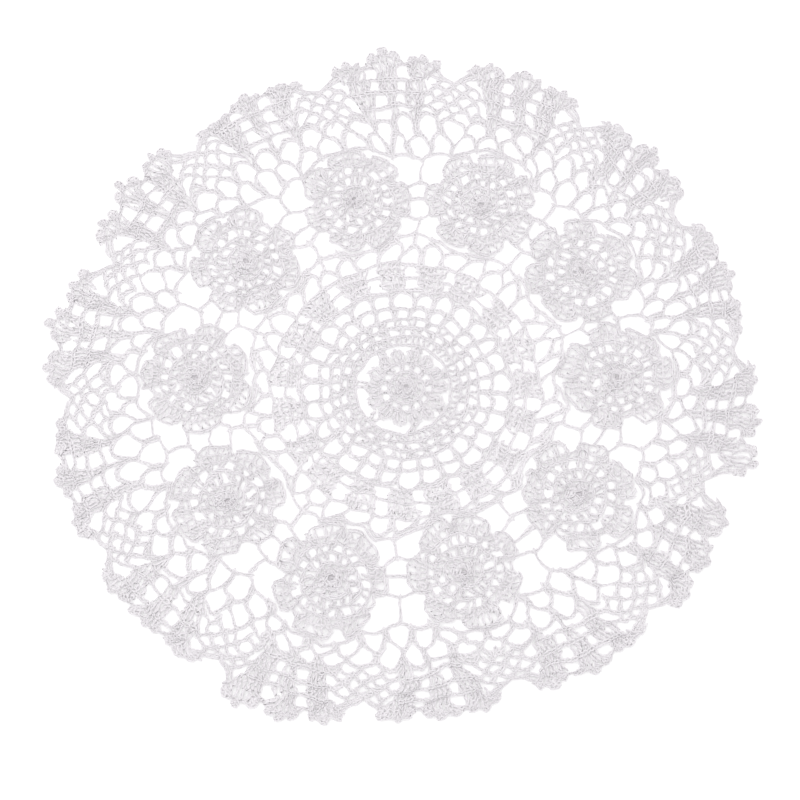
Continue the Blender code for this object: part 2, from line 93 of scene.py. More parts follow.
def chain(points, closed=False, width=CHAIN_WIDTH, low=LYING, high=CHAIN_HIGH):
    """Chain stitches along a soft curve through the points."""
    line = smooth(points, closed)
    along = np.concatenate(([0], np.cumsum(np.linalg.norm(np.diff(line, axis=0), axis=1))))
    count = max(1, round(along[-1] / CHAIN_PITCH))
    at = np.linspace(0, along[-1], count + 1)
    places = np.stack([np.interp(at, along, line[:, axis]) for axis in (0, 1)], axis=1)
    return [Stitch(a, a + (b - a) * CHAIN_REACH, low, high, width, 0)
            for a, b in zip(places, places[1:])]


POST_WIDTH = 0.92                       # between the legs of a double crochet's loops
POST_KNOTS = (0.0, 0.36, 0.68, 1.0)     # where its three loops pass through one another
POST_TURN = 0.5                         # how far each is turned on its side, in half turns
POST_HOLD, POST_LIFT = 0.05, 0.2        # a loop goes past its knots by this share, and is lifted
HAND_SEED = 3
hand = np.random.default_rng(HAND_SEED)


def double(foot, head, low=0.52, high=1.1, stray=0.55):
    """One double crochet: three short loops, drawn up one through the other, each turned on its
    side and up to stray millimetres out of line."""
    way = head - foot
    across = np.array((-way[1], way[0])) / np.linalg.norm(way)
    knots = [foot + way * share + across * hand.uniform(-stray, stray) for share in POST_KNOTS]
    heights = np.linspace(low, high, len(knots))
    hold = way * POST_HOLD
    return [Stitch(start - hold, end + hold, bottom, top + POST_LIFT, POST_WIDTH, POST_TURN)
            for start, end, bottom, top in zip(knots, knots[1:], heights, heights[1:])]


RING_STEP = 15                          # degrees between the points that a round goes through


def ring(middle, reach, **heights):
    """A closed round of chain stitches."""
    points = [middle + polar(reach, turn) for turn in range(0, 360, RING_STEP)]
    return chain(points, closed=True, **heights)


EYELET_HOLE, EYELET_RIM = 0.8, 2.4      # from the hub to the thread down in the hole, to its rim


def eyelet(middle):
    """The ring of chains that a motif is begun with: it stands up round a small deep hole."""
    return (ring(middle, EYELET_HOLE, low=0.6, high=0.9)
            + ring(middle, EYELET_RIM, low=1.5, high=2.3))


# A round of double crochet: the distance of the posts' feet and heads from the middle, the number
# of pairs, how far the posts of a pair spread at foot and head, how far the heads lean on, where
# the round begins (all in degrees), and the height of the feet and heads.
Round = namedtuple("Round", "foot head pairs foot_spread head_spread lean phase low high")
CAP_OUT, CAP_DOWN, CAP_UP = 0.6, 0.4, 0.2    # the chain on top lies past the heads, and round them


def close_round(middle, bearing, row):
    """A round of double crochet in pairs, leaning a little, with its chain on top."""
    stitches = []
    step = 360 / row.pairs
    for i in range(row.pairs):
        for side in (-1, 1):
            turn = bearing + row.phase + i * step
            foot = polar(row.foot, turn + side * row.foot_spread)
            head = polar(row.head, turn + side * row.head_spread + row.lean)
            stitches += double(middle + foot, middle + head, row.low, row.high)
    cap = ring(middle, row.head + CAP_OUT, low=row.high - CAP_DOWN, high=row.high + CAP_UP)
    return stitches + cap


LOOP_STEPS, THREAD_SIDES = 6, 4         # straight steps round one loop, flat sides of the thread
LOOSE, LOOSE_POST = 0.25, 0.4           # how far a loop's end strays, in a chain and in a post
WIDTHS = (0.9, 1.12)                    # the narrowest and the widest loop, as shares of its width
HEIGHTS = (-0.12, 0.12)                 # the lowest and the highest, from the height that is meant
CHAIN_FOOT, CHAIN_OPENS = 0.55, 0.5     # a chain's loop is narrow at its foot and opens by this
PLY_START = 40                          # the twist of the plies starts anywhere within this


def thread_loops(stitches, random):
    """Points, faces and thread coordinates of one tube for each stitch, all at once."""
    count = len(stitches)
    start, end = (np.array([getattr(s, name) for s in stitches]) for name in ("start", "end"))
    low, high, width, twist = (
        np.array([getattr(s, name) for s in stitches])[:, None]
        for name in ("low", "high", "width", "twist")
    )
    width = width * random.uniform(*WIDTHS, (count, 1))
    high = high + random.uniform(*HEIGHTS, (count, 1))
    loose = np.where(twist > 0, LOOSE_POST, LOOSE)
    start = start + random.normal(0, 1, (count, 2)) * loose
    end = end + random.normal(0, 1, (count, 2)) * loose

    angle = np.arange(LOOP_STEPS) / LOOP_STEPS * 2 * np.pi
    along = (0.5 - 0.5 * np.cos(angle))[None]
    taper = np.where(twist > 0, 1.0, CHAIN_FOOT + CHAIN_OPENS * along)
    wind = np.pi * twist * along
    side = width / 2 * np.sin(angle)[None] * taper
    way = end - start
    left = np.stack((-way[:, 1], way[:, 0]), axis=1) / np.linalg.norm(way, axis=1)[:, None]
    line = np.empty((count, LOOP_STEPS, 3))
    line[:, :, :2] = (start[:, None] + way[:, None] * along[:, :, None]
                      + left[:, None] * (side * np.cos(wind))[:, :, None])
    line[:, :, 2] = low + (high - low) * along + side * np.sin(wind)

    ahead = np.roll(line, -1, axis=1) - np.roll(line, 1, axis=1)
    ahead /= np.linalg.norm(ahead, axis=2)[:, :, None]
    across = np.cross((0, 0, 1), ahead)
    across /= np.linalg.norm(across, axis=2)[:, :, None] + 1e-9
    above = np.cross(ahead, across)
    round_it = (np.arange(THREAD_SIDES) + 0.5) / THREAD_SIDES * 2 * np.pi
    sideways = np.cos(round_it)[:, None] * across[:, :, None]
    upwards = np.sin(round_it)[:, None] * above[:, :, None]
    points = line[:, :, None] + THREAD / 2 * (sideways + upwards)
    points[..., 2] = np.maximum(points[..., 2], 0.0)

    i, j = np.meshgrid(np.arange(LOOP_STEPS), np.arange(THREAD_SIDES), indexing="ij")
    i_after, j_after = (i + 1) % LOOP_STEPS, (j + 1) % THREAD_SIDES
    face = np.stack([i * THREAD_SIDES + j, i_after * THREAD_SIDES + j,
                     i_after * THREAD_SIDES + j_after, i * THREAD_SIDES + j_after], axis=-1)
    first_points = np.arange(count) * LOOP_STEPS * THREAD_SIDES
    faces = face.reshape(1, -1, 4) + first_points[:, None, None]

    steps = np.linalg.norm(np.roll(line, -1, axis=1) - line, axis=2)
    length = np.concatenate((np.zeros((count, 1)), np.cumsum(steps, axis=1)), axis=1)
    length += random.uniform(0, PLY_START, (count, 1))
    u = np.stack([length[:, i], length[:, i + 1], length[:, i + 1], length[:, i]], axis=-1)
    v = np.broadcast_to(np.stack([j, j, j + 1, j + 1], axis=-1) / THREAD_SIDES, u.shape)
    return points.reshape(-1, 3), faces.reshape(-1, 4), np.stack((u, v), axis=-1).reshape(-1, 2)


PULLS = ((9, 0.32), (14, 0.5), (23, 0.55), (40, 0.5))    # length of a wave, and its size
PULL_WAYS, PULL_SEED = 3, 5             # waves of each length, each in a way of its own
FIRM_MIDDLE, FIRMEST = 50.0, 0.25       # nearer the middle it holds its shape, down to this share


def pulled(points):
    """How far the cloth lies from an even layout, after it was pulled flat by hand."""
    random = np.random.default_rng(PULL_SEED)
    moved = np.zeros_like(points)
    for length, size in PULLS:
        for _ in range(PULL_WAYS):
            turn, way, start = random.uniform(0, 360, 3)
            phase = (points @ polar(1, turn)) * 360 / length + start
            moved += np.sin(np.radians(phase))[:, None] * polar(size, way)
    reach = np.linalg.norm(points, axis=1)[:, None]
    return moved * np.clip(reach / FIRM_MIDDLE, FIRMEST, 1.0)


def laid(point):
    """Where a point of the even layout really lies, in metres."""
    return (point + pulled(point[None])[0] + MEDALLION) * MM


def crochet(name, stitches, seed):
    """One piece of lace: every stitch is a closed loop of thread."""
    places, faces, thread = thread_loops(stitches, np.random.default_rng(seed))
    places[:, :2] += pulled(places[:, :2]) + MEDALLION
    mesh = bpy.data.meshes.new(name)
    mesh.from_pydata((places * MM).tolist(), [], faces.tolist())
    mesh.uv_layers.new(name="thread")
    mesh.uv_layers["thread"].data.foreach_set("uv", thread.astype(np.float32).ravel())
    mesh.shade_smooth()
    piece = bpy.data.objects.new(name, mesh)
    bpy.context.scene.collection.objects.link(piece)
    return piece


def to_linear(code):
    """The linear colour of an sRGB hex code."""
    parts = [int(code[i:i + 2], 16) / 255 for i in (1, 3, 5)]
    linear = [p / 12.92 if p <= 0.04045 else ((p + 0.055) / 1.055) ** 2.4 for p in parts]
    return (*linear, 1.0)


def add(tree, kind, links=(), **settings):
    """Adds a node. links holds (socket, value) or (socket, other node's output)."""
    node = tree.nodes.new(kind)
    for key, value in settings.items():
        setattr(node, key, value)
    for socket, value in links:
        if isinstance(value, bpy.types.NodeSocket):
            tree.links.new(value, node.inputs[socket])
        else:
            node.inputs[socket].default_value = value
    return node


COTTON_WHITE, COTTON_SHADE = "#f8f4f8", "#eeebee"        # on a ply, and painted shade between two plies, also the dark end of random patches
# Painted shade round a hub, where the first rounds are drawn tight and shade each other.
HUB_PAINTED_SHADE = "#ece8ec"
HUB_HEIGHT = 0.001                      # metres above the table
HUB_CORE, HUB_REACH = 0.001, 0.0055     # metres from the hub: full painted shade, and no painted shade left


def mercerised_cotton(name, bright, painted_shade_and_patch, hub=None):
    """Size 10 crochet cotton: three plies twisted hard, then mercerised, so that it is smooth
    and has a soft silky gleam. Its colour is painted darker between the plies, as painted shade,
    with random patches of whiteness. Round a hub it is painted greyer, as painted shade where the
    first rounds are drawn tight."""
    plies, ply_pitch = 3, 2.2               # mm a turn; really about 1.2, coarser so that it shows
    ply_relief = 0.00006                    # metres that the plies stand out
    fibre_scale, fibre_stretch = 1.6, (0.8, 9.0, 1.0)    # loose fibres lie along the thread
    patch_scale = 90.0                      # a metre, for patches of whiteness about 11 mm wide
    material = bpy.data.materials.new(name)
    material.use_nodes = True
    tree = material.node_tree
    shader = tree.nodes["Principled BSDF"]
    place = add(tree, "ShaderNodeUVMap", uv_map="thread").outputs[0]
    split = add(tree, "ShaderNodeSeparateXYZ", [(0, place)])
    along = add(tree, "ShaderNodeMath", [(0, split.outputs[0]), (1, 1 / ply_pitch)],
                operation="MULTIPLY").outputs[0]
    turn = add(tree, "ShaderNodeMath", [(0, split.outputs[1]), (1, plies), (2, along)],
               operation="MULTIPLY_ADD").outputs[0]
    wave = add(tree, "ShaderNodeMath", [(0, turn), (1, 2 * math.pi)],
               operation="MULTIPLY").outputs[0]
    ply = add(tree, "ShaderNodeMath", [(0, wave)], operation="SINE").outputs[0]
    stretched = add(tree, "ShaderNodeMapping", [(0, place), ("Scale", fibre_stretch)]).outputs[0]
    fibre = add(tree, "ShaderNodeTexNoise", [("Vector", stretched), ("Scale", fibre_scale),
                                             ("Detail", 2.0)]).outputs[0]
    height = add(tree, "ShaderNodeMath", [(0, fibre), (1, 0.7), (2, ply)],
                 operation="MULTIPLY_ADD").outputs[0]
    bump = add(tree, "ShaderNodeBump", [("Height", height), ("Strength", 0.35),
                                        ("Distance", ply_relief)]).outputs[0]
    # painted shade between the plies: the colour darkens where the ply height is low
    shade = add(tree, "ShaderNodeMapRange", [("Value", height), ("From Min", -1.0),
                                             ("From Max", 1.6)]).outputs[0]
    where = add(tree, "ShaderNodeTexCoord").outputs["Object"]
    patch = add(tree, "ShaderNodeTexNoise", [("Vector", where), ("Scale", patch_scale),
                                             ("Detail", 3.0)]).outputs[0]
    tone = add(tree, "ShaderNodeMath", [(0, patch), (1, 0.6), (2, shade)],
               operation="MULTIPLY_ADD").outputs[0]
    share = add(tree, "ShaderNodeMapRange", [("Value", tone), ("From Min", 0.2),
                                             ("From Max", 1.25)]).outputs[0]
    colour = add(tree, "ShaderNodeMix", [(0, share), (6, to_linear(painted_shade_and_patch)), (7, to_linear(bright))],
                 data_type="RGBA").outputs[2]
    # painted shade round the hub, greyer towards its middle
    if hub is not None:
        away = add(tree, "ShaderNodeVectorMath", [(0, where), (1, (*hub, HUB_HEIGHT))],
                   operation="DISTANCE").outputs["Value"]
        hub_shade = add(tree, "ShaderNodeMapRange", [("Value", away), ("From Min", HUB_REACH),
                                                   ("From Max", HUB_CORE)],
                      interpolation_type="SMOOTHSTEP").outputs[0]
        colour = add(tree, "ShaderNodeMix", [(0, hub_shade), (6, colour), (7, to_linear(HUB_PAINTED_SHADE))],
                     data_type="RGBA").outputs[2]
    tree.links.new(colour, shader.inputs["Base Color"])
    tree.links.new(bump, shader.inputs["Normal"])
    shader.inputs["Roughness"].default_value = 0.62
    shader.inputs["IOR"].default_value = 1.53
    shader.inputs["Metallic"].default_value = 0.0
    shader.inputs["Sheen Weight"].default_value = 0.25
    shader.inputs["Sheen Roughness"].default_value = 0.5
    return material


CLOSE_ROUNDS = (
    Round(2.8, 4.4, 8, 11, 11, 6, 0, 1.8, 1.4), Round(5.6, 8.2, 6, 15, 15, -4, 9, 0.8, 1.2),
    Round(9.8, 13.3, 12, 2.6, 3.6, 2, 12.4, 0.6, 1.2),
)
ROSE_PETALS, ROSE_FOOT, ROSE_TIP = 14, 14.6, 19.9
ROSE_POSTS = (-1, 1)                    # two posts in each petal, one to each side of its middle
ROSE_FOOT_SPREAD, ROSE_TIP_SPREAD = 3.2, 4.0
ROSE_EDGE = ((15.2, -7.0), (19.0, -8.5), (21.1, 0), (19.0, 8.5), (15.2, 7.0))
ROSE_EDGE_WIDTH = 1.1
BEHIND_ROSE = np.array((-1.6, -0.5))    # the rose lies a little off the rounds behind it
BEHIND_RING = 25.2
TIES, FIRST_TIE, TIE_HALF, TIE_FOOT = 7, 20, 3.5, 21.0   # a slit is open from one to the next
DENSE_MIDDLE = BEHIND_ROSE * 0.6
DENSE_ROUNDS = (
    Round(26.2, 29.4, 28, 2.6, 3.4, 1, 0, 0.5, 1.0),
    Round(31.0, 33.8, 24, 1.4, 3.2, 2, 2, 0.5, 0.9),
    Round(35.4, 38.8, 28, 1.4, 3.2, -1, 6, 0.5, 0.9),
)
Arch = namedtuple("Arch", "foot top count phase width")
OPEN_ARCHES = (Arch(39.6, 46.2, 28, 2.5, 2.1), Arch(45.6, 55.0, 28, 2.5, 1.5))
FOOT_HALF, SHOULDER_HALF = 0.46, 0.42   # half the width of an arch, as shares of its place
SHOULDER = 0.72                         # the height at which it turns in, as a share

medallion_stitches = eyelet(np.zeros(2))
for row in CLOSE_ROUNDS:
    medallion_stitches += close_round(np.zeros(2), 0, row)
for i in range(ROSE_PETALS):
    middle = i * 360 / ROSE_PETALS
    for part in ROSE_POSTS:
        foot = polar(ROSE_FOOT, middle + ROSE_FOOT_SPREAD * part)
        head = polar(ROSE_TIP, middle + ROSE_TIP_SPREAD * part)
        medallion_stitches += double(foot, head, low=0.8, high=1.8)
    edge = [polar(distance, middle + turn) for distance, turn in ROSE_EDGE]
    medallion_stitches += chain(edge, width=ROSE_EDGE_WIDTH, low=1.2, high=1.9)
medallion_stitches += ring(BEHIND_ROSE, BEHIND_RING)
for i in range(TIES):
    middle = i * 360 / TIES + FIRST_TIE
    for turn in (middle - TIE_HALF, middle + TIE_HALF):
        tie_end = BEHIND_ROSE + polar(BEHIND_RING, turn)
        medallion_stitches += double(polar(TIE_FOOT, turn), tie_end, low=0.5, high=0.7)
for row in DENSE_ROUNDS:
    medallion_stitches += close_round(DENSE_MIDDLE, 0, row)
for row in OPEN_ARCHES:
    step = 360 / row.count
    shoulder = row.foot + (row.top - row.foot) * SHOULDER
    for i in range(row.count):
        middle = row.phase + i * step
        medallion_stitches += chain([
            polar(row.foot, middle - step * FOOT_HALF),
            polar(shoulder, middle - step * SHOULDER_HALF),
            polar(row.top, middle),
            polar(shoulder, middle + step * SHOULDER_HALF),
            polar(row.foot, middle + step * FOOT_HALF)], width=row.width)

medallion = crochet("medallion", medallion_stitches, seed=1)
# Its cotton is painted greyer round the hub, as painted shade.
medallion.data.materials.append(mercerised_cotton(
    "mercerised_cotton_medallion", COTTON_WHITE, COTTON_SHADE, laid(np.zeros(2))))
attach(medallion, "root")
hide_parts("centre")

# ====================================================================== shells and inner net
# Two rounds of shells, each a group of double crochet, parted by windows, then a net of chain
# arches that reaches the rosettes, and the chain that ties the rosettes to it from inside.
Rosette = namedtuple("Rosette", "bearing distance")         # where its hub lies
ROSETTES = (
    Rosette(3, 112.4), Rosette(35, 115), Rosette(69, 114), Rosette(104, 112), Rosette(140.5, 113),
    Rosette(177, 112), Rosette(213.5, 111.3), Rosette(249.5, 111.5), Rosette(287, 104),
    Rosette(326.5, 107),
)
COLUMNS = 70                            # arches in each round of the border
ROSETTE_COLUMNS = COLUMNS // len(ROSETTES)
FIRST_ROSETTE, PLAIN_TURN = -1, 3.6     # the column that it faces, and the bearing of column 0
PETAL_TIP, JOIN, CHAIN_SPAN = 30.5, 0.3, 2.2     # a petal's reach, the space beyond, the chain
RIM = PETAL_TIP + JOIN + CHAIN_SPAN / 2 # middle of the chain, from a rosette's middle

# The chain along one side of the rosettes: the way it faces, how far round a rosette it goes to
# each side (in degrees and in columns), how far out it passes a valley and bulges before it, and
# how far out the bar across the valley lies at its ends and at its middle.
Side = namedtuple("Side", "turn sweep half_arc valley bulge bar_end bar_middle")
OUTSIDE = Side(0, 50, 2.0, 24.6, 2.4, 9.5, 12.0)
INSIDE = Side(180, -27, 1.25, -19.5, 0.6, -7.4, -10.2)
BAR_HOLD = 2.4                          # a bar is worked into the petals this far
WINDOWS, WINDOW_TURN = 19, -7.5         # a shell lies between two windows
SHELL_LIFTED_WHITE, SHELL_LIFTED_SHADE = "#fbf7fb", "#f2eff2"          # painted a little whiter, as painted light that lifts the shade of their posts
SHELL_START, SHELL_CAP = 56.0, 0.8      # the round that they are worked on, and the chain on top
SHELL_WANDER, WAIST_WANDER = 0.8, 0.5   # how uneven they are, in degrees and in millimetres
WAIST_POINTS, WAIST_WIDTH = 5, 1.0      # the thread that crosses a shell's posts
ShellRow = namedtuple("ShellRow", "foot head half_foot half_head posts")
SHELL_ROWS = (ShellRow(57.0, 62.2, 5.3, 6.2, 6), ShellRow(64.6, 70.4, 6.0, 6.4, 7))
NET_START, NET_TOP, NET_ARCHES = 72.4, 80.2, 40
NET_RIM, NET_RIM_VALLEY, NET_RIM_CURVE = 79.2, 86.2, 1.3 # the rosettes' chain, if it lay evenly
NET_FOOT_HALF, NET_SIDE_HALF = 0.94, 0.86        # half the width of an arch, in shares of its place
NET_SIDE_RISE, NET_WIDTH = 4.4, 2.0


UNEVEN_STEPS = (92.617, 557.801, 268.936)        # radians on from one stitch to the next


def uneven(size, *counts):
    """A small steady offset, different for each stitch, as hand work has."""
    return size * math.sin(sum(c * s for c, s in zip(counts, UNEVEN_STEPS)))


def rosette_middle(k):
    row = ROSETTES[k % len(ROSETTES)]
    return polar(row.distance, row.bearing)


def rosette_point(k, reach, turn):
    return rosette_middle(k) + polar(reach, ROSETTES[k % len(ROSETTES)].bearing + turn)


def valley(k):
    """Between rosettes k and k + 1: the middle, the way across, the way out, half the distance."""
    start, end = rosette_middle(k), rosette_middle(k + 1)
    distance = np.linalg.norm(end - start)
    across = (end - start) / distance
    return (start + end) / 2, across, np.array((across[1], -across[0])), distance / 2


def valley_point(k, x, y):
    middle, across, outward, _ = valley(k)
    return middle + across * x + outward * y


def nearest_rosette(column):
    k = round((column - FIRST_ROSETTE) / ROSETTE_COLUMNS)
    return k, column - (FIRST_ROSETTE + ROSETTE_COLUMNS * k)


def rim(column, side):
    """The chain along one side of the rosettes, at a column of the border."""
    k, offset = nearest_rosette(column)
    if abs(offset) <= side.half_arc:
        return rosette_point(k, RIM, side.turn + side.sweep * offset / side.half_arc)
    way = 1 if offset > 0 else -1
    corner = rosette_point(k, RIM, side.turn + way * side.sweep)
    after = k if way > 0 else k - 1
    middle = valley_point(after, 0, side.valley)
    share = (abs(offset) - side.half_arc) / (ROSETTE_COLUMNS / 2 - side.half_arc)
    bulge = side.bulge * math.sin(math.pi * share) * math.copysign(1, side.valley)
    return corner + (middle - corner) * share + valley(after)[2] * bulge


def mixed(start, end, share):
    """Between two points, by bearing and distance."""
    turn = (bearing_of(end) - bearing_of(start) + 180) % 360 - 180
    reach = np.linalg.norm(start) + (np.linalg.norm(end) - np.linalg.norm(start)) * share
    return polar(reach, bearing_of(start) + turn * share)


def inner_ring(column, distance):
    """A point of the net between the shells and the rosettes."""
    _, offset = nearest_rosette(column)
    to_valley = (2 * abs(offset) / ROSETTE_COLUMNS) ** NET_RIM_CURVE
    even_rim = NET_RIM + (NET_RIM_VALLEY - NET_RIM) * to_valley
    start = polar(NET_START, PLAIN_TURN + column * 360 / COLUMNS)
    share = min(1.0, (distance - NET_START) / (even_rim - NET_START))
    return mixed(start, rim(column, INSIDE), share)


def rim_chain(side):
    """The chain along the rosettes and the strand and bar that it sends into each valley."""
    stitches = chain([rim(column / 4, side) for column in range(4 * COLUMNS)], closed=True)
    for k in range(len(ROSETTES)):
        inner = abs(side.bar_end) - CHAIN_SPAN / 2
        reach = valley(k)[3] - math.sqrt(PETAL_TIP ** 2 - inner ** 2) + BAR_HOLD
        bar = [(-reach, side.bar_end), (0, side.bar_middle), (reach, side.bar_end)]
        stitches += chain([valley_point(k, 0, side.valley), valley_point(k, 0, side.bar_middle)])
        stitches += chain([valley_point(k, x, y) for x, y in bar])
    return stitches


shell_stitches = ring(np.zeros(2), SHELL_START)
for row in SHELL_ROWS:
    for i in range(WINDOWS):
        middle = WINDOW_TURN + (i + 0.5) * 360 / WINDOWS + uneven(SHELL_WANDER, i)
        for part in np.linspace(-1, 1, row.posts):
            foot = polar(row.foot, middle + part * row.half_foot)
            head = polar(row.head, middle + part * row.half_head)
            shell_stitches += double(foot, head, low=0.5, high=1.0, stray=1.1)
        waist, half = (row.foot + row.head) / 2, (row.half_foot + row.half_head) / 2
        points = [polar(waist + uneven(WAIST_WANDER, i, part), middle + part * half)
                  for part in np.linspace(-1, 1, WAIST_POINTS)]
        shell_stitches += chain(points, width=WAIST_WIDTH, low=0.8, high=1.3)
    shell_stitches += ring(np.zeros(2), row.head + SHELL_CAP, low=0.55, high=1.1)

net_stitches = rim_chain(INSIDE)
for i in range(NET_ARCHES):
    top = FIRST_ROSETTE + ROSETTE_COLUMNS / 2 + i * COLUMNS / NET_ARCHES
    half = COLUMNS / NET_ARCHES / 2
    net_stitches += chain([
        inner_ring(top - half * NET_FOOT_HALF, NET_START),
        inner_ring(top - half * NET_SIDE_HALF, NET_START + NET_SIDE_RISE),
        inner_ring(top, NET_TOP),
        inner_ring(top + half * NET_SIDE_HALF, NET_START + NET_SIDE_RISE),
        inner_ring(top + half * NET_FOOT_HALF, NET_START)], width=NET_WIDTH)
    if np.linalg.norm(inner_ring(top, NET_TOP) - rim(top, INSIDE)) > CHAIN_SPAN:
        net_stitches += chain([inner_ring(top, NET_TOP), rim(top, INSIDE)], width=NET_WIDTH)

shells = crochet("shells_and_inner_net", shell_stitches + net_stitches, seed=2)
# Its whiter colours are painted light on the shells.
shells.data.materials.append(mercerised_cotton(
    "mercerised_cotton_shells", SHELL_LIFTED_WHITE, SHELL_LIFTED_SHADE))
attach(shells, "root")
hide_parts("centre")

# ====================================================================== the ten rosettes
# Each rosette is begun at its own ring: a close wheel, two rounds of small holes, and seven
# shell petals. The last round joins it to the one before, with a stitch at the petals' tips.
ROSETTE_ROUNDS = (
    Round(2.8, 4.4, 7, 12, 12, 5, 0, 1.8, 1.4), Round(5.6, 8.3, 6, 14.5, 14.5, -3, 6, 0.8, 1.2),
    Round(10.2, 14.0, 14, 3.0, 4.2, 3, 0, 0.6, 1.1),
    Round(15.9, 19.4, 14, 3.6, 5.0, -3, 15, 0.5, 1.0),
)
PETAL_TURNS = (0, 52, 105, 156, 204, 255, 308)
AHEAD, BEHIND, LINK_TURN = 2, 5, 3.0    # the petals that are tied to the neighbours' petals
PETAL_HALF, HALF_WANDER = 20.5, 1.5     # half the width of a petal, in degrees
PETAL_SIDE, PETAL_SHOULDER, PETAL_BROW, PETAL_TOP, TOP_WANDER = 22.0, 26.4, 28.7, 29.5, 0.7
SHOULDER_IN, BROW_IN = 1, 6             # degrees that its edge has turned in there
PETAL_POSTS, PETAL_FOOT, PETAL_FOOT_HALF = 6, 21.0, 15
PETAL_HEAD, PETAL_HEAD_DROP, PETAL_HEAD_IN = 28.0, 1.6, 2
PETAL_WAIST, PETAL_WAIST_WANDER, PETAL_WAIST_IN, PETAL_WAIST_POINTS = 24.4, 0.5, 4, 4
GAP_FOOT, GAP_MIDDLE, GAP_HOLD = 22.6, 24.2, 2    # the chain from one petal to the next
LINK_HOLD, LINK_OUT = 1, 0.4            # the stitch that ties two rosettes, across their valley

for k in range(len(ROSETTES)):
    middle, bearing = rosette_middle(k), ROSETTES[k].bearing
    stitches = eyelet(middle)
    for row in ROSETTE_ROUNDS:
        stitches += close_round(middle, bearing, row)
    turns = list(PETAL_TURNS)
    turns[AHEAD] = (bearing_of(rosette_middle(k + 1) - middle) - bearing) % 360 - LINK_TURN
    turns[BEHIND] = (bearing_of(rosette_middle(k - 1) - middle) - bearing) % 360 + LINK_TURN
    for petal, turn in enumerate(turns):
        half = PETAL_HALF + uneven(HALF_WANDER, k, petal)
        reach = uneven(TOP_WANDER, petal, k)
        for part in np.linspace(-1, 1, PETAL_POSTS):
            head = PETAL_HEAD + reach - PETAL_HEAD_DROP * part ** 2
            stitches += double(rosette_point(k, PETAL_FOOT, turn + PETAL_FOOT_HALF * part),
                               rosette_point(k, head, turn + (half - PETAL_HEAD_IN) * part),
                               low=0.8, high=1.7, stray=1.0)
        side = ((PETAL_SIDE, half), (PETAL_SHOULDER, half - SHOULDER_IN),
                (PETAL_BROW + reach, half - BROW_IN))
        edge = [rosette_point(k, distance, turn - out) for distance, out in side]
        edge += [rosette_point(k, PETAL_TOP + reach, turn)]
        edge += [rosette_point(k, distance, turn + out) for distance, out in reversed(side)]
        stitches += chain(edge, low=1.0, high=1.8)
        waist = [rosette_point(k, PETAL_WAIST + uneven(PETAL_WAIST_WANDER, petal, part),
                               turn + (half - PETAL_WAIST_IN) * part)
                 for part in np.linspace(-1, 1, PETAL_WAIST_POINTS)]
        stitches += chain(waist, width=WAIST_WIDTH, low=1.0, high=1.6)
        gap = (turns[(petal + 1) % len(turns)] - turn) % 360
        stitches += chain([rosette_point(k, GAP_FOOT, turn + half - GAP_HOLD),
                           rosette_point(k, GAP_MIDDLE, turn + gap / 2),
                           rosette_point(k, GAP_FOOT, turn + gap - half + GAP_HOLD)])
    foot = valley(k)[3] - PETAL_TIP + LINK_HOLD
    stitches += chain([valley_point(k, -foot, LINK_OUT), valley_point(k, foot, LINK_OUT)])
    rosette = crochet("rosette_lace_%02d" % (k + 1), stitches, seed=10 + k)
    # Its cotton is painted greyer round the hub, as painted shade.
    rosette.data.materials.append(mercerised_cotton(
        "mercerised_cotton_rosette_%02d" % (k + 1), COTTON_WHITE, COTTON_SHADE, laid(middle)))
    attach(rosette, "root")
    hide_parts("rosette_%02d" % (k + 1))

# ====================================================================== the open border rounds
# The chain round the outer side of the rosettes, then two rounds of seventy chain arches. Two
# chains run side by side where neighbouring arches meet, up to the fork where they part.

# A scallop: where the notch before it lies, then the distance of its three fans' tips.
Scallop = namedtuple("Scallop", "bearing notch first middle last")
SCALLOPS = (
    Scallop(7, 176, 185, 190, 189), Scallop(33.5, 176, 193, 197, 194),
    Scallop(57.5, 183, 197, 200, 198), Scallop(81.5, 182, 199, 203, 197),
    Scallop(105.5, 182, 194, 196, 190), Scallop(130.5, 181, 198, 199, 194),
    Scallop(156, 175, 192, 197, 193), Scallop(182.5, 179, 187, 191, 188),
    Scallop(209.5, 178, 188, 187, 185), Scallop(237, 174, 190, 189, 184),
    Scallop(262.5, 168, 177, 178, 176), Scallop(289, 163, 178, 180, 180),
    Scallop(316, 172, 183, 184, 182), Scallop(341.5, 164, 189, 189, 187),
)
SCALLOP_COLUMNS = COLUMNS // len(SCALLOPS)
RIM_VALLEY, RIM_BULGE, RIM_ROUND = 130.1, 13.4, 30.0     # the rosettes' chain, if it lay evenly
EDGE_ROUND, FAN_TIP = 175.0, 192.0      # likewise the round through the notches, and the tips
ArchTop = namedtuple("ArchTop", "valley added")         # in a valley, and how far out by a rosette
FIRST_ARCH, SECOND_ARCH = ArchTop(144.5, 7.5), ArchTop(155.0, 3.5)
FIRST_FORK, SECOND_FORK = 0.40, 0.36    # how far up the legs of two arches run side by side
FIRST_WANDER, SECOND_WANDER, TURN_WANDER = 0.7, 0.6, 0.08
FANS = (0.225, 0.5, 0.775)              # where they stand, as shares of a scallop's width
LEG = 0.85                              # an arch's leg stands this far from its separator
ARCH_RISE, ARCH_OPEN, ARCH_WIDTH = 0.55, 1.6, 2.0


def scallop_at(column):
    return divmod(column / SCALLOP_COLUMNS, 1)


def notch_line(column):
    m, share = scallop_at(column)
    here, after = (SCALLOPS[int(m + i) % len(SCALLOPS)] for i in (0, 1))
    return mixed(polar(here.notch, here.bearing), polar(after.notch, after.bearing), share)


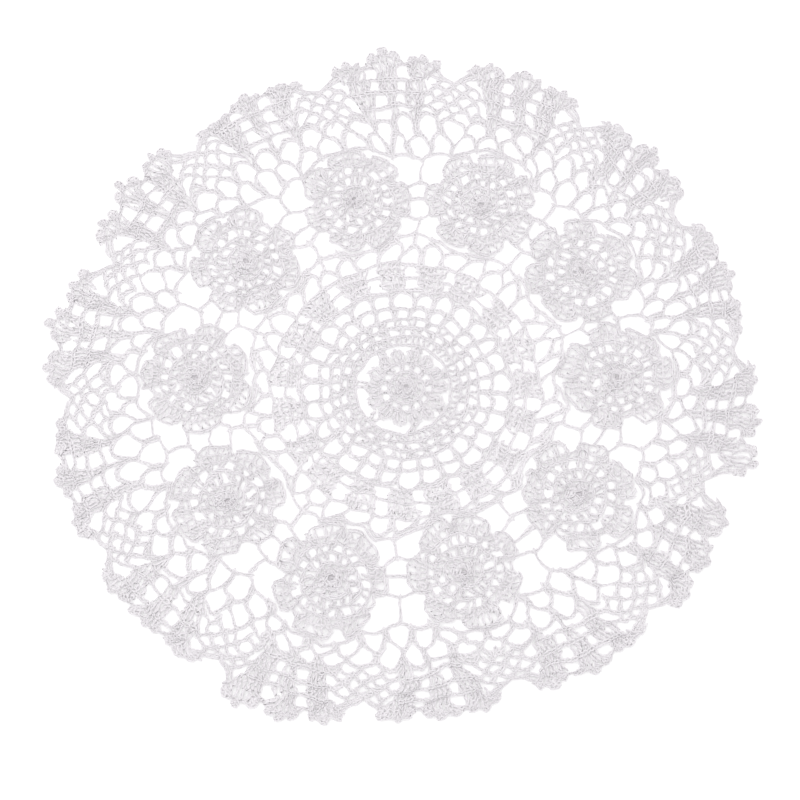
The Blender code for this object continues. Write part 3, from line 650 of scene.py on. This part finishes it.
def fan_reach(column):
    m, share = scallop_at(column)
    row = SCALLOPS[int(m) % len(SCALLOPS)]
    reaches = [
        (tip - np.linalg.norm(notch_line(SCALLOP_COLUMNS * (m + fan)))) / (FAN_TIP - EDGE_ROUND)
        for fan, tip in zip(FANS, (row.first, row.middle, row.last))
    ]
    return float(np.interp(share, FANS, reaches))


def border(column, distance):
    """A point of the border, from its place in an evenly laid one."""
    _, offset = nearest_rosette(column)
    even_rim = RIM_VALLEY + RIM_BULGE * max(0.0, math.cos(math.radians(RIM_ROUND * offset)))
    edge = notch_line(column)
    if distance <= EDGE_ROUND:
        return mixed(rim(column, OUTSIDE), edge, (distance - even_rim) / (EDGE_ROUND - even_rim))
    return edge * (1 + (distance - EDGE_ROUND) * fan_reach(column) / np.linalg.norm(edge))


def round_top(column, level):
    _, offset = nearest_rosette(column)
    return level.valley + level.added * math.cos(math.pi * offset / ROSETTE_COLUMNS) ** 2


def first_top(column):
    distance = round_top(column, FIRST_ARCH) + uneven(FIRST_WANDER, column)
    return border(column + uneven(TURN_WANDER, column, 1), distance)


def first_fork(column):
    foot, top = rim(column, OUTSIDE), border(column, round_top(column, FIRST_ARCH))
    return foot + (top - foot) * FIRST_FORK


def second_top(column):
    return border(column, round_top(column, SECOND_ARCH) + uneven(SECOND_WANDER, column, 2))


def second_fork(column):
    foot, top = first_top(column), border(column, round_top(column, SECOND_ARCH))
    return foot + (top - foot) * SECOND_FORK


def arch(start, start_fork, top, end_fork, end):
    """Chain up one separator, over the arch and down the next, a leg's width inside each."""
    across = (end - start) / np.linalg.norm(end - start) * LEG
    start_side = start_fork * (1 - ARCH_RISE) + top * ARCH_RISE - across * ARCH_OPEN
    end_side = end_fork * (1 - ARCH_RISE) + top * ARCH_RISE + across * ARCH_OPEN
    return chain([start + across, start_fork + across, start_side, top, end_side,
                  end_fork - across, end - across], width=ARCH_WIDTH)


outer_stitches = rim_chain(OUTSIDE)
for j in range(COLUMNS):
    outer_stitches += arch(rim(j, OUTSIDE), first_fork(j), first_top(j + 0.5),
                           first_fork(j + 1), rim(j + 1, OUTSIDE))
    outer_stitches += arch(first_top(j - 0.5), second_fork(j - 0.5), second_top(j),
                           second_fork(j + 0.5), first_top(j + 0.5))

outer_net = crochet("outer_net", outer_stitches, seed=30)
outer_net.data.materials.append(mercerised_cotton(
    "mercerised_cotton_net", COTTON_WHITE, COTTON_SHADE))
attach(outer_net, "root")
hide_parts("border")

# ====================================================================== the fourteen scallops
# Three stems of double crochet, each row a stitch wider than the last, rise through chain
# spaces; small chain arches fill the corners down to the notch between two scallops.

# A row of the stems: the distance of its feet and heads, where the first stem stands in the
# scallop, then the posts and half width of the two outer stems and of the middle one.
Row = namedtuple("Row", "low high side side_posts side_half posts half")
STEM_ROWS = (
    Row(151.5, 159.8, 0.305, 3, 2.2, 2, 1.1), Row(161.4, 167.2, 0.312, 5, 4.2, 3, 2.5),
    Row(168.8, 174.6, 0.292, 6, 5.4, 5, 4.2), Row(176.2, 181.2, 0.260, 7, 6.8, 6, 6.0),
)
STEM_TAPER = 0.85                       # the feet stand closer than the heads
RUNGS = (160.6, 168.0, 175.4)           # the chain spaces between the stems lie between these
RUNG_POINTS, RUNG_WIDTH = 13, 1.9
Net = namedtuple("Net", "foot top first last")
CORNER_NET = (                          # rows of small arches, the middle of the first and last
    Net(156.6, 161.2, 0.065, 0.195), Net(160.8, 165.4, 0.0, 0.13), Net(165.0, 169.0, 0.065, 0.195),
    Net(168.6, 172.4, 0.0, 0.13), Net(172.0, 175.6, 0.065, 0.065),
)
NET_HALF, NET_SIDE = 0.065, 0.7         # half such an arch's width, and the share halfway up
CORNER_WIDTH = 1.7
Corner = namedtuple("Corner", "share distance")
EDGE_CHAINS = (                         # from the notch up to the first fan
    (Corner(0.0, 173.6), Corner(0.05, 176.0), Corner(0.1, 179.8), Corner(0.14, 183.6)),
    (Corner(0.0, 173.0), Corner(0.06, 174.8), Corner(0.12, 177.6), Corner(0.18, 180.8)),
)
SCALLOP_WIDTH = 78.0                    # from notch to notch
NEAR = 0.02                             # a share of it, to find the way across a stem


def at(m, share, distance):
    """A point of scallop m, by its share of the scallop's width."""
    return border(SCALLOP_COLUMNS * (m + share), distance)


def stem_posts(m, share, row, posts, half):
    """One row of a stem: double crochet side by side."""
    low, high = at(m, share, row.low), at(m, share, row.high)
    across = at(m, share + NEAR, row.high) - at(m, share - NEAR, row.high)
    across /= np.linalg.norm(across)
    stitches = []
    for part in np.linspace(-1, 1, posts):
        foot, head = low + across * half * STEM_TAPER * part, high + across * half * part
        stitches += double(foot, head)
    return stitches


stem_stitches, corner_stitches = [], []
for m in range(len(SCALLOPS)):
    for row in STEM_ROWS:
        for share in (row.side, 1 - row.side):
            stem_stitches += stem_posts(m, share, row, row.side_posts, row.side_half)
        stem_stitches += stem_posts(m, 0.5, row, row.posts, row.half)
    for rung, row in zip(RUNGS, STEM_ROWS):
        first = row.side - row.side_half / SCALLOP_WIDTH
        last = 1 - row.side + row.side_half / SCALLOP_WIDTH
        points = [at(m, share, rung) for share in np.linspace(first, last, RUNG_POINTS)]
        stem_stitches += chain(points, width=RUNG_WIDTH, low=0.9, high=1.6)
    for row in CORNER_NET:
        for middle in np.arange(row.first, row.last + NET_HALF / 2, 2 * NET_HALF):
            for way in (1, -1) if middle > 0 else (1,):
                halfway = (row.foot + row.top) / 2
                corner_stitches += chain([
                    at(m, way * middle - NET_HALF, row.foot),
                    at(m, way * middle - NET_HALF * NET_SIDE, halfway),
                    at(m, way * middle, row.top),
                    at(m, way * middle + NET_HALF * NET_SIDE, halfway),
                    at(m, way * middle + NET_HALF, row.foot)], width=CORNER_WIDTH)
    for points in EDGE_CHAINS:
        for way in (1, -1):
            corner_stitches += chain([at(m, way * p.share, p.distance) for p in points])

scallop_cotton = mercerised_cotton("mercerised_cotton_scallops", COTTON_WHITE, COTTON_SHADE)
stems = crochet("scallop_stems", stem_stitches, seed=40)
corners = crochet("scallop_corners", corner_stitches, seed=41)
for piece in (stems, corners):
    piece.data.materials.append(scallop_cotton)
    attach(piece, "root")
    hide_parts("border")

# ====================================================================== fans and picots
# A fan of six double crochet on each stem, edged with three picots: little rings of chain
# that stand out as knobs. They are the last round, and a chain dips between two fans.
FAN_POSTS, FAN_FOOT, FAN_HEAD, FAN_HEAD_DROP = 6, 180.6, 186.6, 2.4
FAN_FOOT_HALF, FAN_HEAD_HALF = 0.07, 0.112       # shares of a scallop's width
FAN_EDGE_HALF, FAN_EDGE_OUT, FAN_EDGE_DROP, FAN_EDGE_POINTS = 0.12, 0.6, 3.2, 7
PICOTS, PICOT_PITCH = (-1, 0, 1), 0.078
PICOT_REACH, PICOT_DROP = 2.2, 2.3      # from a picot's middle; the outer two lie lower
PICOT_LOOPS, PICOT_LAP, PICOT_WIDTH, PICOT_POST = 6, 80, 2.2, 1.2
DIPS = (0.3625, 0.6375)                 # where the chain dips from fan to fan
DIP_POINTS = ((-0.05, 182.4), (0, 183.4), (0.05, 182.4))

fan_stitches = []
for m in range(len(SCALLOPS)):
    for fan in FANS:
        for part in np.linspace(-1, 1, FAN_POSTS):
            foot = at(m, fan + FAN_FOOT_HALF * part, FAN_FOOT)
            head = at(m, fan + FAN_HEAD_HALF * part, FAN_HEAD - FAN_HEAD_DROP * part ** 2)
            fan_stitches += double(foot, head, low=0.9, high=1.7)
        edge = [at(m, fan + FAN_EDGE_HALF * part,
                   FAN_HEAD + FAN_EDGE_OUT - FAN_EDGE_DROP * part ** 2)
                for part in np.linspace(-1, 1, FAN_EDGE_POINTS)]
        fan_stitches += chain(edge, low=0.9, high=1.7)
        for picot in PICOTS:
            tip = at(m, fan + picot * PICOT_PITCH, FAN_TIP - PICOT_DROP * abs(picot))
            middle = tip * (1 - (PICOT_REACH + THREAD) / np.linalg.norm(tip))
            for turn in range(0, 360, 360 // PICOT_LOOPS):
                start, end = polar(PICOT_REACH, turn), polar(PICOT_REACH, turn + PICOT_LAP)
                loop = Stitch(middle + start, middle + end, 1.0, 1.7, PICOT_WIDTH, 0)
                fan_stitches.append(loop)
            fan_stitches += double(middle + polar(PICOT_POST, 90),
                                   middle + polar(PICOT_POST, 270), low=1.2, high=1.6)
    for dip in DIPS:
        fan_stitches += chain([at(m, dip + share, distance) for share, distance in DIP_POINTS])

fans = crochet("fans_and_picots", fan_stitches, seed=50)
fans.data.materials.append(mercerised_cotton(
    "mercerised_cotton_fans", COTTON_WHITE, COTTON_SHADE))
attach(fans, "root")
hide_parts("border")

# ====================================================================== the table top
# A plain board in white eggshell paint, rolled on: an even dull white, hardly uneven at all. It
# is wide enough to fill the view from any side.
TABLE_HALF, TABLE_GAP = 3, 0.0002       # metres; the lace lies a hair above it
board = bpy.data.meshes.new("table_top")
square = ((-1, -1), (1, -1), (1, 1), (-1, 1))
board.from_pydata([(TABLE_HALF * x, TABLE_HALF * y, 0) for x, y in square], [], [(0, 1, 2, 3)])
table = bpy.data.objects.new("table_top", board)
table.location.z = -TABLE_GAP
bpy.context.scene.collection.objects.link(table)
paint = bpy.data.materials.new("white_eggshell_paint")
paint.use_nodes = True
shader = paint.node_tree.nodes["Principled BSDF"]
grain = add(paint.node_tree, "ShaderNodeTexNoise", [("Scale", 40.0), ("Detail", 3.0)]).outputs[0]
paint_colour = add(paint.node_tree, "ShaderNodeMix", [
    (0, grain), (6, to_linear("#fcfcfc")), (7, to_linear("#ffffff"))], data_type="RGBA").outputs[2]
paint.node_tree.links.new(paint_colour, shader.inputs["Base Color"])
shader.inputs["Roughness"].default_value = 0.6
# It glows softly, so that it comes out as white as the blown-out background of the photograph.
shader.inputs["Emission Color"].default_value = (1.0, 1.0, 1.0, 1.0)
shader.inputs["Emission Strength"].default_value = 0.16
board.materials.append(paint)

# ====================================================================== light and camera
# Soft studio light from all round, a little stronger from above, on the left and beyond the
# doily. The camera looks down at it from the front.
world = bpy.data.worlds.new("studio")
world.use_nodes = True
background = world.node_tree.nodes["Background"]
background.inputs["Color"].default_value = (1.0, 1.0, 1.0, 1.0)
background.inputs["Strength"].default_value = 0.94
bpy.context.scene.world = world
softbox_light = bpy.data.lights.new("softbox", "AREA")
softbox_light.shape = "DISK"
softbox_light.size = 0.9
softbox_light.energy = 3
softbox = bpy.data.objects.new("softbox", softbox_light)
softbox.location = (-0.5, 0.45, 1.3)
softbox.rotation_euler = (math.radians(-19), math.radians(-21), 0)
bpy.context.scene.collection.objects.link(softbox)
bpy.context.scene.view_settings.view_transform = "Standard"

LOOK_AT = (-0.00042, -0.01818, 0.0)
VIEW_DISTANCE = 1.0044                  # metres from that point
VIEW_LOWERED = 18.5                     # degrees off straight down
lens = bpy.data.cameras.new("camera")
lens.sensor_width = 36
lens.lens = 85.5
lens.clip_start, lens.clip_end = 0.05, 50
camera = bpy.data.objects.new("camera", lens)
tilt = math.radians(VIEW_LOWERED)
camera.location = (LOOK_AT[0], LOOK_AT[1] - VIEW_DISTANCE * math.sin(tilt),
                   VIEW_DISTANCE * math.cos(tilt))
camera.rotation_euler = (tilt, 0, 0)
bpy.context.scene.collection.objects.link(camera)
bpy.context.scene.camera = camera
